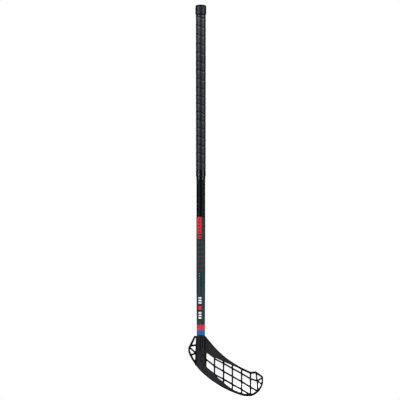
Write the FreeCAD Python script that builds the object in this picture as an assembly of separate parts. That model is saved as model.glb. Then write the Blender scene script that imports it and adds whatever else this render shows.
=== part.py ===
import FreeCAD, Part
import math
import os

vector = FreeCAD.Vector

# The stick stands with its shaft on the Z axis, the butt up and the blade down.
# The origin is the middle of the cap's flat top, the toe points to +X, and the
# player looks at the front, which faces -Y. All sizes are millimetres.

# Shaft: a composite tube, full under the hands and drawn in towards the blade.
shaft_length = 1000.0
shaft_wall = 1.3
butt_diameter = 26.0
middle_diameter = 24.9
tip_diameter = 22.9
butt_full_length = 170.0
butt_taper_length = 140.0
tip_full_length = 90.0
tip_taper_length = 160.0

# End cap: a rubber cup over the butt, with a plug inside the tube.
cap_diameter = 31.0
cap_height = 27.5
cap_crown = 4.0
cap_land_diameter = 13.0
cap_dome_drop = 2.0
cap_waist_diameter = 30.2
cap_lip_height = 2.6
cap_plug_length = 20.0
cap_clearance = 0.1

# Grip: one strip wound round the shaft, its lower edge skived thin.
grip_length = 458.0
grip_thickness = 0.8
grip_clearance = 0.1
grip_pitch = 24.6
grip_seam = 0.6
grip_skive_height = 2.4
grip_skive_depth = 0.45
grip_cap_joint = 0.2

# Finishing tape: closes the lower end of the grip.
tape_thickness = 0.3
tape_clearance = 0.1
tape_on_grip = 17.5
tape_step = 2.0
tape_on_shaft = 8.8

# Printed film and the two trim rings, counted up from the blade's socket.
# The film runs up to the bare stretch of shaft that is left below the tape.
film_thickness = 0.2
film_clearance = 0.05
bare_shaft_length = 105.3
ring_joint = 0.1
bare_below_rings = 4.2
blue_ring_length = 14.0
red_ring_length = 14.3

# Blade: one moulding of socket, rim, two webs and an open lattice.
socket_depth = 64.0
socket_wall = 1.6
socket_floor = 2.5
blade_reach = 176.3
heel_reach = 35.6
blade_drop = 170.0
hook_depth = 10.0
rim_width = 4.7
rim_depth = 9.0
rim_trim = 0.3
web_depth = 7.0
panel_depth = 5.6
panel_margin = 2.6
bar_width = 3.4
opening_corner = 0.8
flute_width = 2.4
flute_depth = 0.9
flute_spacing = 6.3
flute_first = -1.7
flute_lengths = (36.0, 28.0, 33.0)
flute_start = 4.0

# Hot-melt bond in the socket, and the screw that locks the joint.
bond_thickness = 0.3
bond_clearance = 0.05
bond_mouth_gap = 2.0
bond_floor = 1.5
screw_shank_diameter = 3.4
screw_head_diameter = 6.6
screw_head_height = 2.0
screw_length = 6.0
screw_clearance = 0.1
screw_from_mouth = 24.0

cut_overrun = 5.0

# Outline of the blade seen from the front, clockwise from the heel's top corner.
# Across: shares of the heel's reach left of the axis, of the toe's reach right of it.
# Down: shares of the blade's drop. Two points are a line, three are an arc.
outline_shares = (
    ((-0.526, 0.0), (-0.93, 0.172)),
    ((-0.93, 0.172), (-1.0, 0.213), (-0.962, 0.272)),
    ((-0.962, 0.272), (-0.43, 0.474), (0.082, 0.657)),
    ((0.082, 0.657), (0.412, 0.884), (0.7, 0.997)),
    ((0.7, 0.997), (0.758, 1.0), (0.8, 0.9985)),
    ((0.8, 0.9985), (0.897, 0.95), (0.988, 0.812)),
    ((0.988, 0.812), (1.0, 0.74), (0.997, 0.684)),
    ((0.997, 0.684), (0.992, 0.672), (0.983, 0.664)),
    ((0.983, 0.664), (0.893, 0.599)),
    ((0.893, 0.599), (0.88, 0.592), (0.863, 0.593)),
    ((0.863, 0.593), (0.803, 0.6)),
    ((0.803, 0.6), (0.565, 0.477), (0.348, 0.317)),
    ((0.348, 0.317), (0.267, 0.237), (0.187, 0.147)),
    ((0.187, 0.147), (0.069, 0.0)),
    ((0.069, 0.0), (-0.526, 0.0)),
)

# Solid areas inside the rim, in the same shares; what passes the rim is trimmed.
neck_shares = ((-0.38, -0.1), (0.086, -0.1), (0.086, 1.0), (-0.52, 1.0))
upper_web_shares = ((0.0, 0.0), (0.0, 0.25), (0.086, 0.281), (0.122, 0.298), (0.187, 0.351),
                    (0.25, 0.369), (0.38, 0.43), (0.476, 0.469), (0.541, 0.499),
                    (0.57, 0.4), (0.2, 0.0))
lower_web_shares = ((0.0, 0.6), (0.086, 0.506), (0.122, 0.543), (0.187, 0.597), (0.219, 0.623),
                    (0.251, 0.677), (0.315, 0.732), (0.348, 0.755), (0.412, 0.816),
                    (0.476, 0.868), (0.541, 0.911), (0.57, 0.93), (0.4, 0.96), (0.0, 0.7))

# Lattice bars, each by its centre line.
bar_shares = (
    ((0.22, 0.33), (0.22, 0.64)),
    ((0.365, 0.4), (0.365, 0.78)),
    ((0.508, 0.46), (0.508, 0.92)),
    ((0.656, 0.52), (0.656, 1.0)),
    ((0.798, 0.59), (0.798, 1.01)),
    ((0.893, 0.59), (0.902, 0.722), (0.917, 0.739), (0.911, 0.757), (0.911, 0.845),
     (0.92, 0.95)),
    ((0.219, 0.377), (0.364, 0.452), (0.507, 0.539), (0.655, 0.622), (0.798, 0.71),
     (0.837, 0.72), (0.878, 0.737), (0.917, 0.739)),
    ((0.917, 0.739), (0.988, 0.699), (1.015, 0.684)),
    ((0.917, 0.741), (0.978, 0.8), (1.01, 0.83)),
    ((0.066, 0.373), (0.217, 0.498), (0.364, 0.588), (0.51, 0.673), (0.653, 0.757),
     (0.798, 0.847), (0.887, 0.902), (0.951, 0.943)),
    ((0.219, 0.637), (0.275, 0.67), (0.365, 0.718), (0.508, 0.805), (0.652, 0.888),
     (0.798, 0.982)),
    ((-1.068, 0.167), (-0.311, 0.152)),
    ((-0.988, 0.162), (-0.311, 0.297)),
    ((-0.908, 0.326), (-0.311, 0.279)),
)

# Height at which the neck has run out into the lower web, and a screw head's crown.
boss_end_share = 0.555
crown_share = 0.6

# Part of a turn by which the grip's seam stands off the top of the strip.
seam_phase_share = 0.52

# Heights on the axis, worked out once from the sizes above.
shaft_top = -cap_crown
shaft_bottom = shaft_top - shaft_length
socket_mouth = shaft_bottom + socket_depth
grip_top = -cap_height - grip_cap_joint
grip_bottom = grip_top - grip_length
tape_top = grip_bottom + tape_on_grip
tape_edge = grip_bottom - tape_clearance
tape_foot = tape_edge - tape_step
tape_bottom = tape_foot - tape_on_shaft
blue_bottom = socket_mouth + bare_below_rings
blue_top = blue_bottom + blue_ring_length
red_bottom = blue_top + ring_joint
red_top = red_bottom + red_ring_length
film_bottom = red_top + ring_joint
film_length = tape_bottom - bare_shaft_length - film_bottom
film_top = film_bottom + film_length

# Radii round the axis.
butt_radius = butt_diameter / 2
middle_radius = middle_diameter / 2
tip_radius = tip_diameter / 2
bond_gap = bond_thickness + 2 * bond_clearance
socket_bore_radius = tip_radius + bond_gap
socket_radius = socket_bore_radius + socket_wall
shank_radius = screw_shank_diameter / 2

# The shaft's outside as (radius, height) stations from the butt to the tip.
shaft_stations = (
    (butt_radius, shaft_top),
    (butt_radius, shaft_top - butt_full_length),
    (middle_radius, shaft_top - butt_full_length - butt_taper_length),
    (middle_radius, shaft_bottom + tip_full_length + tip_taper_length),
    (tip_radius, shaft_bottom + tip_full_length),
    (tip_radius, shaft_bottom),
)


def shaft_radius(height):
    """Outer radius of the shaft at a height, from its stations."""
    for (upper, start), (lower, end) in zip(shaft_stations, shaft_stations[1:]):
        if height >= end:
            return upper + (lower - upper) * (start - height) / (start - end)
    return tip_radius


def shaft_span(top, bottom, offset):
    """Stations of a surface that follows the shaft at an offset between two heights."""
    inner = [height for _, height in shaft_stations if bottom < height < top]
    return [(shaft_radius(height) + offset, height) for height in [top, *inner, bottom]]


def revolved(points):
    """Solid of a closed (radius, height) outline turned round the axis."""
    corners = [vector(radius, 0, height) for radius, height in points]
    face = Part.Face(Part.makePolygon(corners + corners[:1]))
    return face.revolve(vector(0, 0, 0), vector(0, 0, 1), 360)


def sleeve(top, bottom, offset, thickness):
    """Thin tube that follows the shaft at an offset between two heights."""
    inside = shaft_span(top, bottom, offset)
    outside = shaft_span(top, bottom, offset + thickness)
    return revolved(inside + outside[::-1])


def make_shaft():
    """Composite tube with its tapers and the hole that the screw bites in."""
    tube = sleeve(shaft_top, shaft_bottom, -shaft_wall, shaft_wall)
    return tube.cut(screw_hole(shank_radius + screw_clearance))


def make_cap():
    """Cup with a domed crown, a swelling side, a turned-in lip and a plug."""
    radius = cap_diameter / 2
    waist = cap_waist_diameter / 2
    land = cap_land_diameter / 2
    seat = butt_radius + cap_clearance
    plug = butt_radius - shaft_wall - cap_clearance
    shoulder = (radius + waist) / 2
    shoulder_drop = cap_dome_drop + cap_crown / 2
    dome_middle = vector((land + shoulder) / 2 + cap_dome_drop / 2, 0, -cap_dome_drop / 2)
    lip_top = cap_lip_height - cap_height
    side_middle = vector(radius, 0, (lip_top - shoulder_drop) / 2)
    dome_end = vector(shoulder, 0, -shoulder_drop)
    lip_start = vector(waist, 0, lip_top)
    lip_end = vector(waist, 0, -cap_height)
    edges = [
        Part.makeLine(vector(0, 0, 0), vector(land, 0, 0)),
        Part.Arc(vector(land, 0, 0), dome_middle, dome_end).toShape(),
        Part.Arc(dome_end, side_middle, lip_start).toShape(),
        Part.makeLine(lip_start, lip_end),
    ]
    inside = [
        lip_end,
        vector(seat, 0, -cap_height),
        vector(seat, 0, -cap_crown),
        vector(plug, 0, -cap_crown),
        vector(plug, 0, -cap_crown - cap_plug_length),
        vector(0, 0, -cap_crown - cap_plug_length),
        vector(0, 0, 0),
    ]
    edges += [Part.makeLine(a, b) for a, b in zip(inside, inside[1:])]
    face = Part.Face(Part.Wire(edges))
    return face.revolve(vector(0, 0, 0), vector(0, 0, 1), 360)


def helix_point(angle, offset, rise):
    """Point on the grip's seam line at an angle, off the grip's outside by an offset."""
    height = grip_top + rise - grip_pitch * (angle / (2 * math.pi) + seam_phase_share)
    radius = shaft_radius(min(height, shaft_top)) + grip_clearance + grip_thickness + offset
    return vector(radius * math.cos(angle), radius * math.sin(angle), height)


def helix_tangent(angle, offset, rise):
    """Direction of the seam line at an angle, square to the radius."""
    radius = math.hypot(*helix_point(angle, offset, rise)[:2])
    tangent = vector(-radius * math.sin(angle), radius * math.cos(angle),
                     -grip_pitch / (2 * math.pi))
    return tangent.normalize()


def tangent_arc(start, corner, end):
    """Arc between two points whose tangents meet at the corner."""
    middle = (start + end) / 2
    half_chord = (end - start).Length / 2
    towards_corner = corner - middle
    turn = math.atan2(towards_corner.Length, half_chord)
    crown = middle + towards_corner.normalize() * half_chord * math.tan(turn / 2)
    return Part.Arc(start, crown, end).toShape()


def biarc(start, start_tangent, end, end_tangent):
    """Two arcs that leave the start and reach the end along the given tangents."""
    chord = end - start
    both = start_tangent + end_tangent
    square = 4 - both.dot(both)
    linear = chord.dot(both)
    reach = (math.sqrt(linear ** 2 + square * chord.dot(chord)) - linear) / square
    first_corner = start + start_tangent * reach
    last_corner = end - end_tangent * reach
    joint = (first_corner + last_corner) / 2
    return [tangent_arc(start, first_corner, joint), tangent_arc(joint, last_corner, end)]


def seam_edges(offset, rise, first_angle, half_turns):
    """Edges of one helical line of the seam, a biarc to each half turn."""
    angles = [first_angle + math.pi * step for step in range(half_turns + 1)]
    edges = []
    for here, there in zip(angles, angles[1:]):
        edges += biarc(helix_point(here, offset, rise), helix_tangent(here, offset, rise),
                       helix_point(there, offset, rise), helix_tangent(there, offset, rise))
    return edges


def seam_cutter():
    """Helical wedge that parts one turn of the grip from the next and skives its edge."""
    through = -grip_thickness - grip_clearance - shaft_wall
    outside = grip_thickness + shaft_wall
    ramp = grip_skive_height * (outside + grip_skive_depth) / grip_skive_depth
    section = (
        (through, 0.0),
        (through, -grip_seam),
        (outside, -grip_seam),
        (outside, ramp),
        (-grip_skive_depth, 0.0),
    )
    spare = math.ceil((ramp + grip_seam) / grip_pitch) + 1
    half_turns = 2 * (math.ceil(grip_length / grip_pitch) + 2 * spare)
    first_angle = -2 * math.pi * spare
    lines = [seam_edges(offset, rise, first_angle, half_turns) for offset, rise in section]
    walls = [Part.makeRuledSurface(one, other)
             for line, following in zip(lines, lines[1:] + lines[:1])
             for one, other in zip(line, following)]
    ends = [first_angle, first_angle + math.pi * half_turns]
    for angle in ends:
        corners = [helix_point(angle, offset, rise) for offset, rise in section]
        walls.append(Part.Face(Part.makePolygon(corners + corners[:1])))
    shell = Part.makeShell(walls)
    shell.sewShape()
    return Part.makeSolid(shell)


def make_grip():
    """One wound strip: a sleeve of its thickness, parted by its helical seam."""
    wrap = sleeve(grip_top, grip_bottom, grip_clearance, grip_thickness)
    return wrap.cut(seam_cutter())


def least_strip_gap():
    """Least distance between one turn's lower edge and the next turn's upper edge."""
    turns = math.floor(grip_length / grip_pitch)
    steps = 24
    angles = [2 * math.pi * step / steps for step in range(turns * steps)]
    uppers = [helix_point(angle, 0.0, 0.0) for angle in angles]
    lowers = [helix_point(angle, 0.0, -grip_seam) for angle in angles]
    return min(upper.distanceToPoint(lower)
               for place, upper in enumerate(uppers)
               for lower in lowers[max(place - steps, 0):place + steps])


def make_finishing_tape():
    """Tape over the grip's lower edge that steps down onto the bare shaft."""
    over_grip = grip_clearance + grip_thickness + tape_clearance
    inside = [
        (shaft_radius(tape_top) + over_grip, tape_top),
        (shaft_radius(tape_edge) + over_grip, tape_edge),
        (shaft_radius(tape_foot) + tape_clearance, tape_foot),
        (shaft_radius(tape_bottom) + tape_clearance, tape_bottom),
    ]
    outside = [(radius + tape_thickness, height) for radius, height in inside]
    return revolved(inside + outside[::-1])


def blade_point(across_share, down_share):
    """Point of the blade's front view, in front of every part of the blade."""
    reach = blade_reach if across_share > 0 else heel_reach
    front = -hook_depth - socket_radius - cut_overrun
    return vector(across_share * reach, front, socket_mouth - down_share * blade_drop)


def outline_wire():
    """Outer edge of the blade in front view."""
    edges = []
    for run in outline_shares:
        points = [blade_point(*share) for share in run]
        if len(points) == 2:
            edges.append(Part.makeLine(*points))
        else:
            edges.append(Part.Arc(*points).toShape())
    return Part.Wire(edges)


def polygon_face(shares):
    """Flat face of a closed table of shares."""
    points = [blade_point(*share) for share in shares]
    return Part.Face(Part.makePolygon(points + points[:1]))


def bar_faces(shares):
    """Strip faces of one bar's runs, with a round at each bend."""
    points = [blade_point(*share) for share in shares]
    half = bar_width / 2
    facing = vector(0, 1, 0)
    faces = []
    for start, end in zip(points, points[1:]):
        aside = (end - start).cross(facing).normalize() * half
        corners = [start + aside, end + aside, end - aside, start - aside]
        faces.append(Part.Face(Part.makePolygon(corners + corners[:1])))
    for bend in points[1:-1]:
        faces.append(Part.Face(Part.Wire(Part.makeCircle(half, bend, facing))))
    return faces


def through_blade(face):
    """Prism of a front-view face, through the whole depth of the blade."""
    return face.extrude(vector(0, 2 * (hook_depth + socket_radius + cut_overrun), 0))


def curved_slab(depth):
    """Hooked plate of a depth: it bends towards the front away from the shaft."""
    bend_radius = (blade_reach ** 2 + hook_depth ** 2) / (2 * hook_depth)
    base = vector(0, -bend_radius, socket_mouth - blade_drop - cut_overrun)
    height = blade_drop + 2 * cut_overrun
    outer = Part.makeCylinder(bend_radius + depth / 2, height, base)
    return outer.cut(Part.makeCylinder(bend_radius - depth / 2, height, base))


def rounded_opening(face):
    """Opening with its corners rounded as the mould leaves them."""
    inset = face.OuterWire.makeOffset2D(-opening_corner)
    return Part.Face(inset.makeOffset2D(opening_corner))


def lattice_openings(inner_face):
    """Faces of all the gaps that the webs and bars leave inside the rim."""
    solids = [polygon_face(table) for table in (neck_shares, upper_web_shares, lower_web_shares)]
    for table in bar_shares:
        solids += bar_faces(table)
    left = inner_face.cut(Part.makeCompound(solids[:1]).fuse(solids[1:]))
    smallest = math.pi * (2 * opening_corner) ** 2
    return [rounded_opening(face) for face in left.Faces if face.Area > smallest]


def web_panels(inner_face):
    """Faces of the two sunk panels, a margin inside each web."""
    neck = polygon_face(neck_shares)
    panels = []
    for table in (upper_web_shares, lower_web_shares):
        web = inner_face.common(polygon_face(table)).cut(neck)
        for face in web.Faces:
            panels.append(Part.Face(face.OuterWire.makeOffset2D(-panel_margin)))
    return panels


def socket_boss():
    """Round neck that holds the shaft and runs out into the lower web."""
    full_end = socket_floor_height() - socket_floor
    low_end = socket_mouth - blade_drop * boss_end_share
    low_radius = rim_depth / 2
    swell = (socket_radius + low_radius) / 2 + socket_wall
    top = vector(socket_radius, 0, socket_mouth)
    waist = vector(socket_radius, 0, full_end)
    middle = vector(swell, 0, (full_end + low_end) / 2)
    low = vector(low_radius, 0, low_end)
    edges = [
        Part.makeLine(vector(0, 0, socket_mouth), top),
        Part.makeLine(top, waist),
        Part.Arc(waist, middle, low).toShape(),
        Part.makeLine(low, vector(0, 0, low_end)),
        Part.makeLine(vector(0, 0, low_end), vector(0, 0, socket_mouth)),
    ]
    face = Part.Face(Part.Wire(edges))
    return face.revolve(vector(0, 0, 0), vector(0, 0, 1), 360)


def socket_floor_height():
    """Height of the bottom of the socket's bore."""
    return shaft_bottom - bond_floor - 2 * bond_clearance


def socket_bore():
    """Room for the shaft and its bond, open upwards."""
    floor = socket_floor_height()
    height = socket_mouth + cut_overrun - floor
    return Part.makeCylinder(socket_bore_radius, height, vector(0, 0, floor))


def neck_flutes():
    """Round-ended flutes down the front of the neck."""
    radius = flute_width / 2
    depth_centre = socket_radius + radius - flute_depth
    start = socket_mouth - flute_start
    cutters = []
    for place, length in enumerate(flute_lengths):
        across = flute_first + place * flute_spacing
        front = -math.sqrt(depth_centre ** 2 - across ** 2)
        foot = vector(across, front, start - length)
        cutters.append(Part.makeCylinder(radius, length, foot))
        cutters.append(Part.makeSphere(radius, foot))
        cutters.append(Part.makeSphere(radius, vector(across, front, start)))
    return cutters


def screw_seat():
    """Distance of the screw head's seat from the shaft's axis."""
    return math.sqrt(socket_radius ** 2 - (screw_head_diameter / 2 + screw_clearance) ** 2)


def screw_hole(radius):
    """Round hole from the axis out through the back of the neck."""
    base = vector(0, 0, socket_mouth - screw_from_mouth)
    return Part.makeCylinder(radius, socket_radius + cut_overrun, base, vector(0, 1, 0))


def screw_spot_face():
    """Flat seat for the screw's head on the round back of the neck."""
    base = vector(0, screw_seat(), socket_mouth - screw_from_mouth)
    radius = screw_head_diameter / 2 + screw_clearance
    return Part.makeCylinder(radius, cut_overrun, base, vector(0, 1, 0))


def make_blade():
    """Moulded blade: rim, webs and lattice on a hooked plate, with the shaft's socket."""
    outline = Part.Face(outline_wire())
    inner = Part.Face(outline.OuterWire.makeOffset2D(-rim_width))
    plate = through_blade(outline).common(curved_slab(web_depth))
    rim = through_blade(outline.cut(inner)).common(curved_slab(rim_depth))
    trimmed = Part.Face(outline.OuterWire.makeOffset2D(rim_trim - rim_width))
    openings = [through_blade(face) for face in lattice_openings(trimmed)]
    panel_core = curved_slab(panel_depth)
    panels = [through_blade(face).cut(panel_core) for face in web_panels(inner)]
    body = plate.fuse([rim, socket_boss()])
    body = body.cut(openings + panels)
    body = body.cut([socket_bore(), screw_hole(shank_radius + screw_clearance),
                     screw_spot_face()] + neck_flutes())
    return body.removeSplitter()


def make_bond():
    """Hot-melt sleeve round the shaft's tip, with the pool under its end."""
    inside = tip_radius + bond_clearance
    outside = inside + bond_thickness
    top = socket_mouth - bond_mouth_gap
    pool_top = shaft_bottom - bond_clearance
    pool_bottom = pool_top - bond_floor
    bond = revolved([(inside, top), (inside, pool_top), (0, pool_top), (0, pool_bottom),
                     (outside, pool_bottom), (outside, top)])
    return bond.cut(screw_hole(shank_radius + screw_clearance))


def make_screw():
    """Pan-head screw through the back of the neck into the shaft."""
    head = screw_head_diameter / 2
    rise = screw_head_height / 2
    crown = head * crown_share
    seat = screw_seat()
    height = socket_mouth - screw_from_mouth

    def station(radius, out):
        return vector(radius, seat + out, height)

    edges = [
        Part.makeLine(station(0, -screw_length), station(shank_radius, -screw_length)),
        Part.makeLine(station(shank_radius, -screw_length), station(shank_radius, 0)),
        Part.makeLine(station(shank_radius, 0), station(head, 0)),
        Part.makeLine(station(head, 0), station(head, rise)),
        Part.makeLine(station(head, rise), station(crown, screw_head_height)),
        Part.makeLine(station(crown, screw_head_height), station(0, screw_head_height)),
        Part.makeLine(station(0, screw_head_height), station(0, -screw_length)),
    ]
    face = Part.Face(Part.Wire(edges))
    return face.revolve(station(0, 0), vector(0, 1, 0), 360)


def one_solid(shape):
    """The single solid that a finished piece has to be."""
    solids = shape.Solids
    if len(solids) != 1:
        raise ValueError("expected one solid, found %d" % len(solids))
    return solids[0]


pieces = {
    "shaft_tube": make_shaft,
    "end_cap": make_cap,
    "grip_strip": make_grip,
    "finishing_tape": make_finishing_tape,
    "printed_film": lambda: sleeve(film_top, film_bottom, film_clearance, film_thickness),
    "red_ring": lambda: sleeve(red_top, red_bottom, film_clearance, film_thickness),
    "blue_ring": lambda: sleeve(blue_top, blue_bottom, film_clearance, film_thickness),
    "blade": make_blade,
    "socket_bond": make_bond,
    "blade_screw": make_screw,
}

os.makedirs("parts", exist_ok=True)
for name, make in pieces.items():
    solid = one_solid(make())
    solid.exportStep("parts/%s.step" % name)
    print(name, "valid", solid.isValid(), "volume", round(solid.Volume, 1),
          "faces", len(solid.Faces))
print("least gap between turns of the grip", round(least_strip_gap(), 3))
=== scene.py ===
import logging
import math
from dataclasses import dataclass
from enum import Enum
from functools import partial, reduce
from typing import Dict, Optional, Sequence, Tuple, Union

import bmesh
import bpy
import numpy as np
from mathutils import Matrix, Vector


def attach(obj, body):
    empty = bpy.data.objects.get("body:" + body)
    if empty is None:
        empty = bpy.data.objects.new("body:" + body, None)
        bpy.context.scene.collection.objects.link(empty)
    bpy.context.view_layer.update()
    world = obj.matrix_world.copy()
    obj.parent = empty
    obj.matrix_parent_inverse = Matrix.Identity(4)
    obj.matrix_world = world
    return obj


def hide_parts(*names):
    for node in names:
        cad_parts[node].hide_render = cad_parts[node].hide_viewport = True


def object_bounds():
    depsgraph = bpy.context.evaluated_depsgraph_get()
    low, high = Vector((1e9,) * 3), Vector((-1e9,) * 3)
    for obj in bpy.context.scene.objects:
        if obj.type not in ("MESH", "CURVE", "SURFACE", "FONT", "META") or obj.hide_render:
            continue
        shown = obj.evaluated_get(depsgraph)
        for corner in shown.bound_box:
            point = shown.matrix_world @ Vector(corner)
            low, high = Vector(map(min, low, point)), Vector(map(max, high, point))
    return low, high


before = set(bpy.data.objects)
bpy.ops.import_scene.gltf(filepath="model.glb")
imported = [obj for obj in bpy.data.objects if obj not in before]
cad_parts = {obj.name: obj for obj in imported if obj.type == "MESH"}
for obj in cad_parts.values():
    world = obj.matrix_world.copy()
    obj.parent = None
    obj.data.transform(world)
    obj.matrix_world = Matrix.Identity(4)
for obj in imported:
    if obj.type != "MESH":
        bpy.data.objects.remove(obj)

# The stick stands in the frame of its solids, in metres: the shaft is the Z axis,
# the butt is up, the toe points to +X and the front faces -Y.
cad_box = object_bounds()
log = logging.getLogger("floorball_stick")

Array = np.ndarray
Socket = bpy.types.NodeSocket
Sockets = Dict[str, Socket]
Colour = Tuple[float, float, float]
Feed = Union[Socket, float]
Span = Tuple[float, float]
Table = Tuple[Span, ...]
Patch = Tuple[float, float, float, float]
TURN = 2.0 * math.pi
MM = 0.001
WHITE = (1.0, 1.0, 1.0)
# Points closer than WELD become one, and edges shorter than SLIVER go.
WELD = 2e-7
SLIVER = 1e-8
# Softness of a print's edge, degrees to a metre round the shaft, and sides that no angle passes.
PRINT_EDGE = 0.00015
DEGREES_TO_A_METRE = 4600.0
ALL_ROUND = (-999.0, 999.0)
# Where a Mix node has its sockets for colours: the share, the two colours and the result.
MIX_INPUTS = (0, 6, 7)
MIX_RESULT = 2


# Surfaces


@dataclass
class Skin:
    """Points and faces of a surface before it becomes a mesh."""

    points: Array
    faces: Array

    def joined(self, other: "Skin") -> "Skin":
        """Both skins as one, with the other's faces counted on."""
        faces = np.vstack([self.faces, other.faces + len(self.points)])
        return Skin(np.vstack([self.points, other.points]), faces)


def grid_skin(grid: Array, wrap_rows: bool = False, wrap_columns: bool = False) -> Skin:
    """Faces over a grid of points: each square of neighbours is one face.

    The face turns its outside to the cross product of the step along a column
    and the step along a row.

    Args:
        grid: points as an array of rows, columns and x, y, z.
        wrap_rows: join the last row to the first.
        wrap_columns: join the last column to the first.

    Returns:
        The points in a list with their faces.
    """
    rows, columns = grid.shape[:2]
    index = np.arange(rows * columns).reshape(rows, columns)
    if wrap_rows:
        index = np.vstack([index, index[:1]])
    if wrap_columns:
        index = np.hstack([index, index[:, :1]])
    faces = np.stack([index[:-1, :-1], index[1:, :-1], index[1:, 1:], index[:-1, 1:]], axis=-1)
    return Skin(grid.reshape(-1, 3), faces.reshape(-1, 4))


def even_angles(count: int) -> Array:
    """Angles that divide one turn evenly."""
    return np.arange(count) * (TURN / count)


def polar(radius: Array, angle: Array, height: Union[float, Array]) -> Array:
    """Points x = r cos a, y = r sin a, z = h, from arrays that spread over each other."""
    return np.stack(np.broadcast_arrays(radius * np.cos(angle), radius * np.sin(angle), height), axis=-1)


def revolved(profile: Array, columns: int) -> Array:
    """Grid of a profile of radius and height turned round the axis, its outside walls running down."""
    return polar(profile[:, :1], even_angles(columns), profile[:, 1:])


def travelled(path: Array) -> Array:
    """Length of a polyline from its start to each of its points."""
    return np.concatenate([[0.0], np.cumsum(np.linalg.norm(np.diff(path, axis=0), axis=1))])


def leftward(path: Array) -> Array:
    """Unit vectors square to a flat path, on its left: its central differences, turned by a quarter."""
    step = np.gradient(path, axis=0)
    return np.stack([-step[:, 1], step[:, 0]], axis=1) / np.linalg.norm(step, axis=1, keepdims=True)


def resampled(path: Array, step: float) -> Array:
    """Points at even steps along a polyline, by its length.

    Args:
        path: points of the line.
        step: wanted distance between points.

    Returns:
        The even points, both ends kept.
    """
    length = travelled(path)
    even = np.linspace(0.0, length[-1], max(int(length[-1] / step), 3) + 1)
    return np.stack([np.interp(even, length, values) for values in path.T], axis=1)


def smoothed(path: Array, reach: int) -> Array:
    """Open path with its bends eased by a running mean, its ends kept.

    Args:
        path: evenly spaced points.
        reach: points on each side that the mean takes in.

    Returns:
        The eased path.
    """
    padded = np.pad(path, ((reach, reach), (0, 0)), mode="reflect", reflect_type="odd")
    kernel = np.hanning(2 * reach + 3)[1:-1]
    kernel = kernel / kernel.sum()
    return np.stack([np.convolve(values, kernel, mode="valid") for values in padded.T], axis=1)


def smoothstep(low: float, high: float, value: Array) -> Array:
    """Share from 0 at low to 1 at high, as 3t^2 - 2t^3."""
    t = np.clip((value - low) / (high - low), 0.0, 1.0)
    return t * t * (3.0 - 2.0 * t)


def mesh_object(name: str, skin: Skin, sharp: float = 40.0,
                values: Optional[Dict[str, Array]] = None) -> bpy.types.Object:
    """Object at the origin from a skin, with poles merged and faces outwards.

    Args:
        name: name of the piece.
        skin: its points and faces.
        sharp: angle in degrees past which an edge stays sharp.
        values: named numbers at the points, for the material to read.

    Returns:
        The linked object.
    """
    mesh = bpy.data.meshes.new(name)
    mesh.from_pydata(skin.points.tolist(), [], skin.faces.tolist())
    for label, numbers in (values or {}).items():
        layer = mesh.attributes.new(label, "FLOAT", "POINT")
        layer.data.foreach_set("value", numbers.astype(np.float32))
    tidy = bmesh.new()
    tidy.from_mesh(mesh)
    bmesh.ops.remove_doubles(tidy, verts=tidy.verts, dist=WELD)
    bmesh.ops.dissolve_degenerate(tidy, edges=tidy.edges, dist=SLIVER)
    bmesh.ops.recalc_face_normals(tidy, faces=tidy.faces)
    tidy.to_mesh(mesh)
    tidy.free()
    mesh.shade_smooth()
    mesh.set_sharp_from_angle(angle=math.radians(sharp))
    piece = bpy.data.objects.new(name, mesh)
    bpy.context.scene.collection.objects.link(piece)
    return piece


# Shader nodes


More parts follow.
